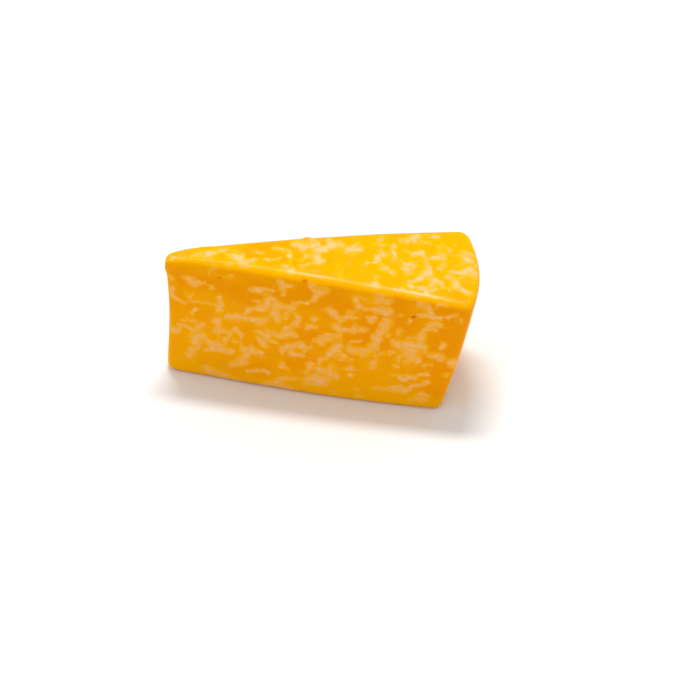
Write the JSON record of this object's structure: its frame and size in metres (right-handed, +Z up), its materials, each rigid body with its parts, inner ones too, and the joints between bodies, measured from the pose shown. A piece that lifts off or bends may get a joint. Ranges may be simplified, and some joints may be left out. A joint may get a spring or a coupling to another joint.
{
  "type": "cheese wedge",
  "caption": "Long wedge of marbled orange and cream block cheese with two cut faces, a blunt thin end, an undercut skin side and softly turned edges, resting on a flat base.",
  "frame": {"origin": "bottom centre of the wedge's box, on the surface that it rests on", "axes": "+X from the thin end to the skin side, +Z up"},
  "size_m": [0.1632, 0.0618, 0.0788],
  "materials": {
    "marbled_curd": "waxy semi-gloss marbled orange and cream cheese"
  },
  "bodies": {
    "root": {"cheese_wedge": "marbled_curd"}
  },
  "joints": []
}
